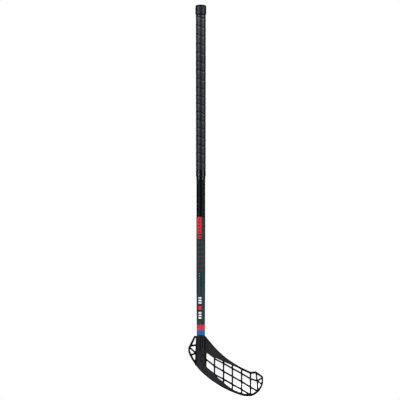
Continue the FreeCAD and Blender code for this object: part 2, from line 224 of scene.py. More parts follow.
class Desk:
    """Short ways to add nodes to a tree."""

    def __init__(self, tree: bpy.types.NodeTree) -> None:
        """Keeps the tree that nodes are added to."""
        self.tree = tree

    def add(self, kind: str, **settings: object) -> bpy.types.Node:
        """New node with its settings.

        Args:
            kind: the node's type name.
            settings: attributes to set on it.

        Returns:
            The node.
        """
        node = self.tree.nodes.new(kind)
        for name, value in settings.items():
            setattr(node, name, value)
        return node

    def feed(self, socket: Socket, value: object) -> None:
        """Links a socket to another one, or sets its own value.

        Args:
            socket: an input.
            value: an output, a number, a vector or a colour.
        """
        if isinstance(value, Socket):
            self.tree.links.new(value, socket)
        else:
            socket.default_value = value

    def math(self, operation: str, *values: Feed) -> Socket:
        """Result of a Math node.

        Args:
            operation: the node's operation.
            values: its inputs, sockets or numbers.

        Returns:
            The output socket.
        """
        node = self.add("ShaderNodeMath", operation=operation)
        for socket, value in zip(node.inputs, values):
            self.feed(socket, value)
        return node.outputs[0]

    def fold(self, operation: str, values: Sequence[Socket]) -> Socket:
        """One value made of several, each taken in by a Math node."""
        return reduce(partial(self.math, operation), values)

    def mix(self, share: Feed, first: Socket, second: Colour) -> Socket:
        """Colour between two colours.

        Args:
            share: 0 for the first, 1 for the second.
            first: socket of a colour.
            second: a plain colour.

        Returns:
            The mixed colour.
        """
        node = self.add("ShaderNodeMix", data_type="RGBA")
        for place, value in zip(MIX_INPUTS, (share, first, (*second, 1.0))):
            self.feed(node.inputs[place], value)
        return node.outputs[MIX_RESULT]

    def scaled(self, colour: Union[Socket, Colour], share: Socket) -> Socket:
        """Colour times a share.

        Args:
            colour: colour or socket.
            share: value about 1.

        Returns:
            The scaled colour.
        """
        node = self.add("ShaderNodeVectorMath", operation="SCALE")
        self.feed(node.inputs[0], colour)
        self.feed(node.inputs["Scale"], share)
        return node.outputs[0]

    def noise(self, place: Socket, scale: Feed, detail: float) -> Socket:
        """Noise value at a place.

        Args:
            place: coordinates.
            scale: cells to a metre.
            detail: octaves.

        Returns:
            The value socket, about 0.5 on average.
        """
        node = self.add("ShaderNodeTexNoise")
        for name, value in (("Vector", place), ("Scale", scale), ("Detail", detail)):
            self.feed(node.inputs[name], value)
        return node.outputs[0]

    def swing(self, place: Socket, scale: Feed, detail: float) -> Socket:
        """Noise about zero."""
        return self.math("SUBTRACT", self.noise(place, scale, detail), 0.5)

    def group(self, tree: bpy.types.NodeTree, **values: object) -> bpy.types.Node:
        """Places a node group and feeds its inputs.

        Args:
            tree: the group.
            values: inputs by name, with _ for a blank.

        Returns:
            The group node.
        """
        node = self.add("ShaderNodeGroup", node_tree=tree)
        for name, value in values.items():
            self.feed(node.inputs[name.replace("_", " ")], value)
        return node


class Bench(Desk):
    """A new material with its shader, output and object coordinates."""

    def __init__(self, name: str) -> None:
        """Makes the material and its first nodes.

        Args:
            name: the material's name.
        """
        self.material = bpy.data.materials.new(name)
        self.material.use_nodes = True
        super().__init__(self.material.node_tree)
        self.tree.nodes.clear()
        self.shader = self.add("ShaderNodeBsdfPrincipled")
        output = self.add("ShaderNodeOutputMaterial")
        self.feed(output.inputs["Surface"], self.shader.outputs[0])
        self.place = self.add("ShaderNodeTexCoord").outputs["Object"]

    def set(self, **values: object) -> None:
        """Feeds the shader's inputs by name, with _ for a blank."""
        for name, value in values.items():
            self.feed(self.shader.inputs[name.replace("_", " ")], value)

    def fed(self, name: str) -> Socket:
        """The socket that feeds one of the shader's inputs so far."""
        return self.shader.inputs[name].links[0].from_socket

    def axes(self) -> Sequence[Socket]:
        """The object coordinates one by one.

        Returns:
            Sockets of x, y and z.
        """
        node = self.add("ShaderNodeSeparateXYZ")
        self.feed(node.inputs[0], self.place)
        return node.outputs

    def bump(self, height: Socket, distance: float) -> None:
        """Raises the surface's normal by a height.

        Args:
            height: socket with values about 0 to 1.
            distance: metres that a height of 1 stands for.
        """
        node = self.add("ShaderNodeBump")
        for name, value in (("Strength", 1.0), ("Distance", distance), ("Height", height)):
            self.feed(node.inputs[name], value)
        self.set(Normal=node.outputs[0])

    def patch(self, around: Feed, height: Feed, patch: Patch) -> Socket:
        """Mask of one printed patch.

        Args:
            around: degrees round the shaft.
            height: height, or a level that repeats.
            patch: its left and right side, then its lower and upper edge.

        Returns:
            The mask, 1 inside.
        """
        sides = dict(zip(("Left", "Right", "Low", "High"), patch))
        node = self.group(Groups.patch, Around=around, Height=height, Soft=PRINT_EDGE, **sides)
        return node.outputs[0]


class Kind(Enum):
    """Socket types of a node group."""

    VALUE = "NodeSocketFloat"
    VECTOR = "NodeSocketVector"


def new_group(name: str, inputs: Sequence[str], outputs: Sequence[str]) -> Tuple[Desk, Sockets, Sockets]:
    """Empty node group with named sockets, all of them values but Place, which is a vector.

    Args:
        name: the group's name.
        inputs: names of its inputs.
        outputs: names of its outputs.

    Returns:
        A desk on the group, the sockets that it is given and those that it puts out.
    """
    tree = bpy.data.node_groups.new(name, "ShaderNodeTree")
    for side, labels in (("INPUT", inputs), ("OUTPUT", outputs)):
        for label in labels:
            kind = Kind.VECTOR if label == "Place" else Kind.VALUE
            tree.interface.new_socket(label, in_out=side, socket_type=kind.value)
    desk = Desk(tree)
    given = dict(zip(inputs, desk.add("NodeGroupInput").outputs))
    return desk, given, dict(zip(outputs, desk.add("NodeGroupOutput").inputs))


def grain_group() -> bpy.types.NodeTree:
    """Fine moulded or foamed grain: a height for bumps and a shade for the colour.

    Height is noise plus a third of noise four times as fine. Shade is 1 plus the
    contrast times slow noise about zero.

    Returns:
        The group, with inputs Place, Scale and Contrast.
    """
    finer, fine_share, slower = 4.0, 0.33, 0.06
    desk, given, result = new_group("surface_grain", ("Place", "Scale", "Contrast"), ("Height", "Shade"))
    place, scale, contrast = given.values()
    coarse = desk.noise(place, scale, detail=2.0)
    fine = desk.noise(place, desk.math("MULTIPLY", scale, finer), detail=1.0)
    desk.feed(result["Height"], desk.math("MULTIPLY_ADD", fine, fine_share, coarse))
    slow = desk.swing(place, desk.math("MULTIPLY", scale, slower), detail=3.0)
    desk.feed(result["Shade"], desk.math("MULTIPLY_ADD", slow, contrast, 1.0))
    return desk.tree


def handling_group() -> bpy.types.NodeTree:
    """Roughness that drifts over the surface, as handled and moulded skins have it.

    Roughness is the base plus the spread times slow noise about zero.

    Returns:
        The group, with inputs Place, Base, Spread and Scale.
    """
    desk, given, result = new_group("handling_marks", ("Place", "Base", "Spread", "Scale"), ("Roughness",))
    place, base, spread, scale = given.values()
    drift = desk.swing(place, scale, detail=4.0)
    desk.feed(result["Roughness"], desk.math("MULTIPLY_ADD", drift, spread, base))
    return desk.tree


def patch_group() -> bpy.types.NodeTree:
    """One printed patch: 1 inside a range of angle and height, with soft edges.

    Each edge is the distance inside it over the softness, and the mask is the
    least of the four, held between 0 and 1.

    Returns:
        The group, with inputs Around, Height, Left, Right, Low, High and Soft.
    """
    names = ("Around", "Height", "Left", "Right", "Low", "High", "Soft")
    desk, given, result = new_group("print_patch", names, ("Mask",))
    soft = given["Soft"]
    degrees = desk.math("MULTIPLY", soft, DEGREES_TO_A_METRE)
    edges = []
    for low, high, reach in (("Left", "Around", degrees), ("Low", "Height", soft),
                             ("Around", "Right", degrees), ("Height", "High", soft)):
        edges.append(desk.math("DIVIDE", desk.math("SUBTRACT", given[high], given[low]), reach))
    node = desk.add("ShaderNodeClamp")
    desk.feed(node.inputs[0], desk.fold("MINIMUM", edges))
    desk.feed(result["Mask"], node.outputs[0])
    return desk.tree


def painted_shade_and_sheen_group() -> bpy.types.NodeTree:
    """Painted shade and painted highlight of a creased skin: colour and sheen weaker in the crease as painted
    shade, the sheen stronger on its lip as a painted highlight.

    The shade is 1 + (in seam - 1) seam, and the sheen is the weight times
    shade + (on lip - 1) lip.

    Returns:
        The group, with inputs Seam, Lip, In Seam, On Lip and Weight.
    """
    names = ("Seam", "Lip", "In Seam", "On Lip", "Weight")
    desk, given, result = new_group("painted_crease_shade_and_highlight", names, ("Sheen", "Shade"))
    seam, lip, in_seam, on_lip, weight = given.values()
    shade = desk.math("MULTIPLY_ADD", desk.math("SUBTRACT", in_seam, 1.0), seam, 1.0)
    lit = desk.math("MULTIPLY_ADD", desk.math("SUBTRACT", on_lip, 1.0), lip, shade)
    desk.feed(result["Sheen"], desk.math("MULTIPLY", lit, weight))
    desk.feed(result["Shade"], shade)
    return desk.tree


class Groups:
    """The shared node groups, each made once."""

    grain = grain_group()
    handling = handling_group()
    patch = patch_group()
    sheen = painted_shade_and_sheen_group()


# Finishes


@dataclass(frozen=True)
class Skinned:
    """A plain skin with grain, drifting roughness and a little shade in its colour.

    Grain and drift are cells to a metre, and depth is the grain's height.
    """

    name: str
    colour: Colour
    roughness: float
    spread: float
    grain: float
    depth: float
    contrast: float
    specular: float = 0.5
    coat: float = 0.0
    coat_roughness: float = 0.12
    metallic: float = 0.0
    tint: Colour = WHITE
    drift: float = 60.0

    def bench(self) -> Bench:
        """The material with its grain, before anything special is added.

        Returns:
            The bench that holds it.
        """
        bench = Bench(self.name)
        grain = bench.group(Groups.grain, Place=bench.place, Scale=self.grain, Contrast=self.contrast)
        marks = bench.group(Groups.handling, Place=bench.place, Base=self.roughness,
                            Spread=self.spread, Scale=self.drift)
        tint = (*self.tint, 1.0)
        bench.set(Base_Color=bench.scaled(self.colour, grain.outputs[1]), Roughness=marks.outputs[0],
                  Metallic=self.metallic, Specular_IOR_Level=self.specular, Specular_Tint=tint,
                  Coat_Weight=self.coat, Coat_Roughness=self.coat_roughness, Coat_Tint=tint)
        bench.bump(grain.outputs[0], self.depth)
        return bench

    def material(self) -> bpy.types.Material:
        """The finished material."""
        return self.bench().material


@dataclass(frozen=True)
class Lacquered(Skinned):
    """Lacquer that stops short of the tube's end and leaves the raw composite bare."""

    raw: Colour = (0.03, 0.0245, 0.026)
    foot: float = -0.9358
    below: float = -2.0

    def material(self) -> bpy.types.Material:
        """Lacquer with the raw end below its foot.

        Returns:
            The finished material.
        """
        bench = self.bench()
        bare = bench.patch(0.0, bench.axes()[2], (*ALL_ROUND, self.below, self.foot))
        bench.set(Base_Color=bench.mix(bare, bench.fed("Base Color"), self.raw))
        return bench.material


@dataclass(frozen=True)
class Creased(Skinned):
    """Skin with painted shade in its creases, where its colour and sheen are darkened, and a painted
    highlight on a lip, where its sheen is raised.
    """

    coat_roughness: float = 0.44
    # Colour and sheen kept in a seam, as painted shade, and sheen multiplied on a lip, as painted highlight.
    in_seam: float = 1.0
    on_lip: float = 1.0
    seam_roughness: float = 0.95

    def material(self) -> bpy.types.Material:
        """Skin with painted shade and painted highlight led by the mesh's own seam and lip values.

        Returns:
            The finished material.
        """
        bench = self.bench()
        seam, lip = (bench.add("ShaderNodeAttribute", attribute_name=name).outputs["Fac"]
                     for name in ("seam", "lip"))
        sheen = bench.group(Groups.sheen, Seam=seam, Lip=lip, In_Seam=self.in_seam,
                            On_Lip=self.on_lip, Weight=self.coat)
        rise = self.seam_roughness - self.roughness
        bench.set(Coat_Weight=sheen.outputs[0],
                  Base_Color=bench.scaled(bench.fed("Base Color"), sheen.outputs[1]),
                  Roughness=bench.math("MULTIPLY_ADD", seam, rise, bench.fed("Roughness")))
        return bench.material


@dataclass(frozen=True)
class Row:
    """Like patches one above another: their two sides, half height and middles."""

    left: float
    right: float
    half: float
    middles: Tuple[float, ...]

    def patches(self) -> Sequence[Patch]:
        """Each patch as its sides and its lower and upper edge."""
        return [(self.left, self.right, middle - self.half, middle + self.half) for middle in self.middles]


@dataclass(frozen=True)
class PrintedFilm(Skinned):
    """Dark slate film with a generic print: a block with dashes, stripes, a ladder and bars, and a faint
    painted highlight.

    Sides are degrees round the shaft from the front, to the right, and edges are heights.
    """

    red: Colour = (0.78, 0.012, 0.03)
    thin_red: Colour = (0.2, 0.018, 0.03)
    navy: Colour = (0.012, 0.035, 0.09)
    light: Colour = (0.8, 0.83, 0.85)
    block: Patch = (-61.0, 8.0, -0.6505, -0.6)
    stripes: Table = ((-0.6582, -0.6548), (-0.6635, -0.6612))
    dashes: Row = Row(-34.0, -10.0, 0.0024, (-0.6093, -0.6181, -0.6269, -0.6357, -0.6445))
    ticks: Row = Row(-21.0, -14.5, 0.0012, (-0.7615, -0.7695, -0.7769))
    tick_strength: float = 0.4
    bars: Row = Row(-34.0, 9.0, 0.0022, (-0.8312, -0.8383, -0.8454, -0.8735, -0.8806, -0.8877))
    accent: Patch = (-34.0, 9.0, -0.8647, -0.8542)
    # Painted highlight: a faint pale strip right of the front, where light catches the round film.
    painted_gleam: Patch = (22.0, 30.0, -0.892, -0.802)
    painted_gleam_strength: float = 0.03
    lines: Tuple[Patch, ...] = ((-20.0, -15.4, -0.824, -0.781), (-15.0, -6.0, -0.9045, -0.8975))
    rung_top: float = -0.6082
    rung_pitch: float = 0.0132
    rungs: int = 12
    rung_width: float = 0.0017
    rail_width: float = 0.0011
    rail_angles: Tuple[float, ...] = (9.0, -53.0, 69.0, 129.0, -111.0, -171.0)
    diameter: float = 0.025
    ladder_strength: float = 0.6
    weak_loss: float = 0.35
    weak_above: float = -0.669

    def material(self) -> bpy.types.Material:
        """Film with its print laid over the slate.

        A rung is a patch in the height's remainder after whole pitches, kept
        between the ladder's ends.

        Returns:
            The finished material.
        """
        bench = self.bench()
        across, back, height = bench.axes()
        front = bench.math("MULTIPLY", back, -1.0)
        around = bench.math("MULTIPLY", bench.math("ARCTAN2", across, front), 360.0 / TURN)

        def masks(*patches: Patch) -> Socket:
            """One mask of several patches."""
            return bench.fold("MAXIMUM", [bench.patch(around, height, patch) for patch in patches])

        foot = self.rung_top - self.rung_pitch * (self.rungs - 1)
        half = self.rung_width / 2
        level = bench.math("SUBTRACT", height, self.rung_top - half)
        level = bench.math("FLOORED_MODULO", level, self.rung_pitch)
        rungs = bench.math("MULTIPLY", bench.patch(around, level, (*ALL_ROUND, 0.0, self.rung_width)),
                           masks((*ALL_ROUND, foot - half, self.rung_top + half)))
        turn = math.degrees(self.rail_width / self.diameter)
        rails = masks(*((angle - turn, angle + turn, foot, self.rung_top) for angle in self.rail_angles))
        strength = bench.math("MULTIPLY_ADD", masks((*ALL_ROUND, self.weak_above, 0.0)),
                              -self.weak_loss, self.ladder_strength)
        ladder = bench.math("MULTIPLY_ADD", bench.math("ADD", rungs, rails), strength, masks(*self.lines))
        # The painted highlight is mixed in with the faint ticks of the print.
        painted_gleam = bench.math("MULTIPLY", masks(self.painted_gleam), self.painted_gleam_strength)
        ticks_and_painted_gleam = bench.math("MULTIPLY_ADD", masks(*self.ticks.patches()), self.tick_strength, painted_gleam)
        stripes = [(*self.block[:2], *edges) for edges in self.stripes]
        colour = bench.fed("Base Color")
        for mask, ink in ((bench.math("MINIMUM", ladder, 1.0), self.thin_red),
                          (masks(self.block, *stripes, self.accent), self.red),
                          (masks(*self.dashes.patches()), self.navy),
                          (ticks_and_painted_gleam, self.light),
                          (masks(*self.bars.patches()), self.light)):
            colour = bench.mix(mask, colour, ink)
        bench.set(Base_Color=colour)
        return bench.material


COOL = (0.84, 0.89, 1.0)
LACQUER = Lacquered(
    "shaft_lacquer", (0.0008, 0.0013, 0.0024), roughness=0.46, spread=0.10, grain=900.0, depth=0.00001,
    contrast=0.25, specular=0.11, tint=COOL)
# The creased finishes paint shade from their meshes' seam values, or a highlight where a value falls below
# zero, and the wrap paints a highlight on its lips.
RUBBER = Creased(
    "cap_rubber", (0.0032, 0.0038, 0.0056), roughness=0.44, spread=0.12, grain=1600.0, depth=0.00002,
    contrast=0.3, specular=0.21, coat=0.38, tint=(0.7, 0.79, 1.0), in_seam=0.0)
WRAP = Creased(
    "grip_wrap", (0.0072, 0.0080, 0.0108), roughness=0.46, spread=0.14, grain=1300.0, depth=0.00005,
    contrast=0.5, specular=0.18, coat=0.32, tint=(0.78, 0.84, 1.0), in_seam=0.1, on_lip=2.7)
TAPE = Skinned(
    "tape_black", (0.0010, 0.0013, 0.0022), roughness=0.28, spread=0.10, grain=700.0, depth=0.00004,
    contrast=0.3, specular=0.31, tint=COOL)
FILM = PrintedFilm(
    "film_print", (0.0089, 0.0329, 0.0375), roughness=0.5, spread=0.08, grain=800.0, depth=0.000008,
    contrast=0.2, specular=0.12)
RED, BLUE = (
    Skinned(name, colour, roughness=0.5, spread=0.08, grain=800.0, depth=0.000008,
            contrast=0.12, specular=0.15)
    for name, colour in (("ring_red", (0.576, 0.0197, 0.041)), ("ring_blue", (0.0025, 0.114, 0.337))))
PLASTIC = Creased(
    "blade_plastic", (0.0160, 0.0159, 0.0188), roughness=0.55, spread=0.14, grain=1500.0, depth=0.00003,
    contrast=0.35, specular=0.03, coat=0.14, coat_roughness=0.5, tint=COOL, in_seam=0.05)
MELT = Skinned(
    "hot_melt", (0.55, 0.47, 0.28), roughness=0.4, spread=0.1, grain=700.0, depth=0.00003, contrast=0.2)
STEEL = Skinned(
    "screw_steel", (0.07, 0.07, 0.072), roughness=0.38, spread=0.12, grain=2600.0, depth=0.00002,
    contrast=0.3, metallic=0.85)


def dress(piece: bpy.types.Object, finish: Skinned) -> None:
    """Gives a piece or a carried-over node its finish.

    Args:
        piece: the object.
        finish: what it is made of.
    """
    material = finish.material()
    if not piece.material_slots:
        piece.data.materials.append(material)
    for slot in piece.material_slots:
        slot.material = material


def keep(node: str, finish: Skinned) -> None:
    """Dresses a solid whose shape is right as it is."""
    dress(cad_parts[node], finish)
    log.info("%s: kept and dressed", node)


def enter(piece: bpy.types.Object, finish: Skinned, *nodes: str) -> None:
    """Dresses a new piece, ties it to the stick's one body, and hides the nodes that it stands for.

    Args:
        piece: the object.
        finish: what it is made of, whose name its material takes.
        nodes: the solids that it replaces.
    """
    dress(piece, finish)
    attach(piece, "root")
    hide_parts(*nodes)
    log.info("%s: %d faces in place of %s", piece.name, len(piece.data.polygons), ", ".join(nodes))


# Sub-assemblies


@dataclass
class Shaft:
    """The tube with its printed film and its two rings: radii in millimetres at stations down it."""

    stations: Tuple[float, ...] = (-0.004, -0.174, -0.314, -0.754, -0.914, -1.004)
    radii: Tuple[float, ...] = (13.0, 13.0, 12.45, 12.45, 11.45, 11.45)

    def radius(self, height: Array) -> Array:
        """Outer radius at each height, straight between the stations."""
        return np.interp(-height, -np.array(self.stations), np.array(self.radii) * MM)

    def build(self) -> None:
        """Dresses the tube, the film and the rings."""
        for node, finish in (("shaft_tube", LACQUER), ("printed_film", FILM),
                             ("red_ring", RED), ("blue_ring", BLUE)):
            keep(node, finish)


@dataclass
class Grip:
    """The wound strip.

    A span is where a change begins and where it is full, as distances, heights
    or shares across the strip. The section's table has the distance down from
    the upper edge and the rise off the shaft, in millimetres.
    """

    shaft: Shaft
    top: float = -27.7 * MM
    bottom: float = -485.7 * MM
    clearance: float = 0.1 * MM
    seam: float = 0.5 * MM
    plain: float = 0.8 * MM
    taped: float = 17.5 * MM
    least_width: float = 0.8 * MM
    edge_rise: float = 0.4 * MM
    flat_span: Span = (-1.0 * MM, 3.0 * MM)
    upper_half: Span = (0.5, 0.0)
    lower_half: Span = (0.5, 1.0)
    press_span: Span = (3.0 * MM, 0.5 * MM)
    fullness: float = 0.32 * MM
    full_span: Span = (-0.14, -0.32)
    pull: float = 0.05 * MM
    pull_waves: float = 3.0
    pull_sway: float = 0.9
    sway_waves: float = 0.37
    pull_span: Span = (0.0, 0.3)
    # Painted shade: the crease darkens colour and sheen near both edges of a turn, and a painted shadow
    # darkens the strip's top under the cap.
    crease: float = 0.2
    crease_top: Span = (4.2 * MM, 0.8 * MM)
    crease_foot: Span = (1.0 * MM, 0.3 * MM)
    cap_shadow: Span = (2.3 * MM, 1.3 * MM)
    # Painted highlight: the sheen is raised on the lip below the upper edge, and more towards the top of the
    # grip.
    lip_rise: Span = (2.6 * MM, 4.6 * MM)
    lip_fall: Span = (8.5 * MM, 5.5 * MM)
    painted_top_highlight: float = 0.6
    painted_top_highlight_span: Span = (-0.17, -0.03)
    columns: int = 84
    samples: int = 40
    easing: int = 16
    seam_angle: float = math.radians(248.0)
    seam_heights: Tuple[float, ...] = (
        -0.0081, -0.0336, -0.0592, -0.0847, -0.1102, -0.1352, -0.1610, -0.1840, -0.2090, -0.2356, -0.2578,
        -0.2799, -0.3037, -0.3264, -0.3480, -0.3726, -0.3962, -0.4200, -0.4444, -0.4683, -0.4921)
    section: Table = (
        (0.0, 0.0), (0.0, 0.46), (0.15, 0.68), (0.35, 0.86), (0.6, 1.0), (1.0, 1.11), (1.6, 1.17),
        (2.4, 1.17), (3.6, 1.12), (5.5, 1.03), (9.0, 0.95), (13.0, 0.91), (17.0, 0.89), (20.0, 0.87),
        (21.4, 0.84), (22.2, 0.78), (22.9, 0.68), (23.4, 0.58), (23.8, 0.5), (24.1, 0.44), (24.1, 0.0))

    def seam_height(self, angle: Array) -> Array:
        """Height of the seam at a running angle, eased between the seen turns.

        Before the first turn and after the last it goes on at the mean pitch.

        Args:
            angle: angle from +X towards +Y, counted on from turn to turn.

        Returns:
            Height at each angle.
        """
        count = np.arange(len(self.seam_heights), dtype=float)
        fine = np.linspace(-1.0, count[-1] + 1.0, self.samples * len(count))
        pitch = (self.seam_heights[-1] - self.seam_heights[0]) / count[-1]
        beyond = fine - np.clip(fine, 0.0, count[-1])
        heights = np.interp(fine, count, self.seam_heights) + pitch * beyond
        eased = smoothed(heights[:, None], self.easing)[:, 0]
        return np.interp((angle - self.seam_angle) / TURN, fine, eased)

    @staticmethod
    def capped(skin: Skin, columns: int) -> Skin:
        """Skin of an open tube with a point in the middle of each end.

        Args:
            skin: grid of rows, wrapped round its columns.
            columns: points in a row.

        Returns:
            The closed skin.
        """
        count = len(skin.points)
        ends = [skin.points[:columns].mean(axis=0), skin.points[-columns:].mean(axis=0)]
        ring = np.arange(columns)
        after = np.roll(ring, -1)
        last = count - columns
        fans = [np.stack(np.broadcast_arrays(one, other, tip, tip), axis=1)
                for one, other, tip in ((ring, after, count), (last + after, last + ring, count + 1))]
        return Skin(np.vstack([skin.points, *ends]), np.vstack([skin.faces, *fans]))

    def build(self) -> None:
        """Winds the strip: a section of lip, crown and skived edge carried along the helix.

        Along the running angle a the upper edge is the seam's height h(a) and the
        lower one h(a + 1 turn), both held between the strip's ends. A share v
        across gives the height, and the section's table gives the distance from
        the shaft, so x = r cos a, y = r sin a. Distances from both edges give the
        seam values, painted shade near each edge and painted shadow under the cap,
        and the lip values, a painted highlight on the sheen below the upper edge
        and towards the top of the grip.
        """
        first = self.seam_angle - TURN
        angle = np.arange(first, first + len(self.seam_heights) * TURN, TURN / self.columns)
        upper = np.minimum(self.seam_height(angle) - self.seam / 2, self.top)
        lower = np.maximum(self.seam_height(angle + TURN) + self.seam / 2, self.bottom)
        wide = upper - lower > self.least_width
        angle, upper, lower = angle[wide, None], upper[wide, None], lower[wide, None]
        down, rise = np.array(self.section).T * MM
        share = down / down[-1]
        from_top, from_foot = share * (upper - lower), (1 - share) * (upper - lower)
        height = upper - from_top
        cut_top, cut_foot = self.seam_height(angle) - self.top, self.bottom - self.seam_height(angle + TURN)
        flat_top = smoothstep(*self.flat_span, cut_top) * smoothstep(*self.upper_half, share)
        flat_foot = smoothstep(*self.flat_span, cut_foot) * smoothstep(*self.lower_half, share)
        shown = (1 - flat_top) * (1 - flat_foot)
        span = rise * shown + np.where(rise > 0, self.plain, 0.0) * (1 - shown)
        sway = self.pull_sway * np.sin(self.sway_waves * angle)
        pull = np.sin(self.pull_waves * angle + sway)
        pull = self.pull * pull * smoothstep(*self.pull_span, share)
        full = self.fullness * smoothstep(*self.full_span, height)
        span = span + np.where(span > self.edge_rise, pull + full, 0.0)
        pressed = smoothstep(*self.press_span, height - self.bottom - self.taped)
        span = span + (np.minimum(span, self.plain) - span) * pressed
        radius = self.shaft.radius(height) + self.clearance + span
        # Painted shade in the crease near both edges, and painted shadow under the cap.
        crease = np.maximum(smoothstep(*self.crease_top, from_top), smoothstep(*self.crease_foot, from_foot))
        seam = np.maximum(self.crease * crease * shown, smoothstep(*self.cap_shadow, self.top - height))
        # Painted highlight on the lip and towards the top of the grip.
        lip = smoothstep(*self.lip_rise, from_top) * smoothstep(*self.lip_fall, from_top) * shown
        lip = lip + self.painted_top_highlight * smoothstep(*self.painted_top_highlight_span, height) * (1.0 - seam)
        skin = grid_skin(polar(radius, angle, height)[:, ::-1], wrap_columns=True)
        values = {name: np.append(mask[:, ::-1], [0.0, 0.0]) for name, mask in (("seam", seam), ("lip", lip))}
        piece = mesh_object("grip_wrap_strip", self.capped(skin, len(share)), sharp=50.0, values=values)
        enter(piece, WRAP, "grip_strip")


@dataclass
class FinishingTape:
    """The tape that closes the strip's lower end, in two layers."""

    grip: Grip
    gap: float = 0.1 * MM
    step: float = 2.0 * MM
    on_shaft: float = 8.8 * MM
    thickness: float = 0.2 * MM
    overlap: float = 9.0 * MM
    overlap_turn: float = 0.3
    overlap_soft: float = 0.25 * MM
    layer: float = 0.11 * MM
    pucker: float = 0.02 * MM
    pucker_waves: Table = ((7.0, 900.0), (3.0, -420.0))
    thinning: float = 0.12 * MM
    thin_span: Span = (0.3 * MM, 0.0)
    rows: int = 120
    columns: int = 180

    def build(self) -> None:
        """Turns a sleeve with an overlap line and slight puckers.

        The radius is the sleeve's, which steps down off the grip, plus a second
        layer below a helical line, plus sines of angle and height for the puckers,
        less a thinning at both edges.
        """
        grip = self.grip
        edge = grip.bottom - self.gap
        foot = edge - self.step
        start, end = grip.bottom + grip.taped, foot - self.on_shaft
        height = np.linspace(start, end, self.rows)[:, None]
        on_grip = smoothstep(foot, edge, height)
        inner = grip.shaft.radius(height) + grip.clearance + (grip.plain + grip.clearance) * on_grip
        angle = even_angles(self.columns)
        line = start - self.overlap - self.overlap * ((angle / TURN + self.overlap_turn) % 1.0)
        layer = smoothstep(self.overlap_soft, -self.overlap_soft, height - line)
        waves = [np.sin(turns * angle + rise * height) for turns, rise in self.pucker_waves]
        thin = smoothstep(*self.thin_span, np.minimum(start - height, height - end))
        outer = inner + self.thickness * (1.0 + on_grip) - self.thinning * thin
        outer = outer + self.layer * layer + self.pucker * np.prod(waves, axis=0)
        radius = np.concatenate([outer, np.repeat(inner[::-1], self.columns, axis=1)])
        grid = polar(radius, angle, np.concatenate([height, height[::-1]]))
        skin = grid_skin(grid, wrap_rows=True, wrap_columns=True)
        piece = mesh_object("finishing_tape_band", skin, sharp=60.0)
        enter(piece, TAPE, "finishing_tape")


@dataclass
class EndCap:
    """The rubber cap: radius and height down its outside and then up its inside, in millimetres."""

    outside: Table = (
        (0.0, 0.0), (6.5, 0.0), (9.6, -0.35), (12.0, -1.0), (13.5, -1.8), (14.5, -2.8), (15.1, -4.0),
        (15.38, -5.4), (15.46, -8.0), (15.48, -13.0), (15.48, -20.0), (15.48, -25.6), (15.44, -26.4),
        (15.2, -27.1), (14.7, -27.5), (13.7, -27.5))
    inside: Table = (
        (13.15, -27.5), (13.1, -27.3), (13.1, -4.0), (11.6, -4.0), (11.6, -23.6), (11.2, -24.0), (0.0, -24.0))
    step: float = 0.25 * MM
    easing: int = 3
    columns: int = 144
    shadow: Span = (-25.9 * MM, -26.6 * MM)

    def build(self) -> None:
        """Turns a cup with a low dome, a full side and a rolled lip, from an eased profile, with painted
        shade at its foot.
        """
        outside, inside = np.array(self.outside) * MM, np.array(self.inside) * MM
        eased = smoothed(resampled(outside, self.step), self.easing)
        eased[0] = outside[0]
        grid = revolved(np.vstack([eased, inside]), self.columns)
        # Painted shade: colour and sheen darkened at the cap's foot, over the shadow's span.
        seam = smoothstep(*self.shadow, grid[..., 2]).ravel()
        values = {"seam": seam, "lip": np.zeros_like(seam)}
        skin = grid_skin(grid, wrap_columns=True)
        piece = mesh_object("rubber_end_cap", skin, sharp=45.0, values=values)
        enter(piece, RUBBER, "end_cap")


@dataclass
class LockScrew:
    """The pan-head screw with a cross recess, its axis across the back of the neck.

    The shank's table has radius and height from the seat, in millimetres.
    """

    place: float = -0.964
    seat: float = 13.01 * MM
    head: float = 3.3 * MM
    crown: float = 2.0 * MM
    crown_fall: float = 0.72
    crown_power: float = 2.4
    crown_share: float = 0.97
    slot: float = 0.45 * MM
    arm: float = 1.9 * MM
    soft: float = 0.2 * MM
    recess: float = 1.1 * MM
    shank: Table = ((3.3, 0.0), (1.7, 0.0), (1.7, -5.6), (1.3, -6.0), (0.0, -6.0))
    rings: int = 40
    columns: int = 96

    def groove(self, aside: Array, along: Array) -> Array:
        """Depth share of one slot of the cross: 1 within its width and its arms, with soft sides."""
        narrow = smoothstep(self.slot + self.soft, self.slot, np.abs(aside))
        return narrow * smoothstep(self.arm + self.soft, self.arm, np.abs(along))

    def build(self) -> None:
        """Turns the head and the shank, and lays their axis along +Y.

        The head's height over the seat is a crown that falls with a power of the
        radius, c sqrt(1 - f t^p), less a cross of two soft slots.
        """
        share = np.append(np.linspace(0.0, self.crown_share, self.rings), [1.0, 1.0])[:, None]
        crown = self.crown * np.sqrt(1.0 - self.crown_fall * share ** self.crown_power)
        head = polar(share * self.head, even_angles(self.columns), crown)
        u, v = head[..., 0], head[..., 1]
        head[..., 2] -= self.recess * np.maximum(self.groove(u, v), self.groove(v, u))
        head[-1, :, 2] = 0.0
        whole = np.concatenate([head, revolved(np.array(self.shank) * MM, self.columns)])
        grid = whole[..., [0, 2, 1]] + (0.0, self.seat, self.place)
        piece = mesh_object("blade_lock_screw", grid_skin(grid, wrap_columns=True), sharp=35.0)
        enter(piece, STEEL, "blade_screw")


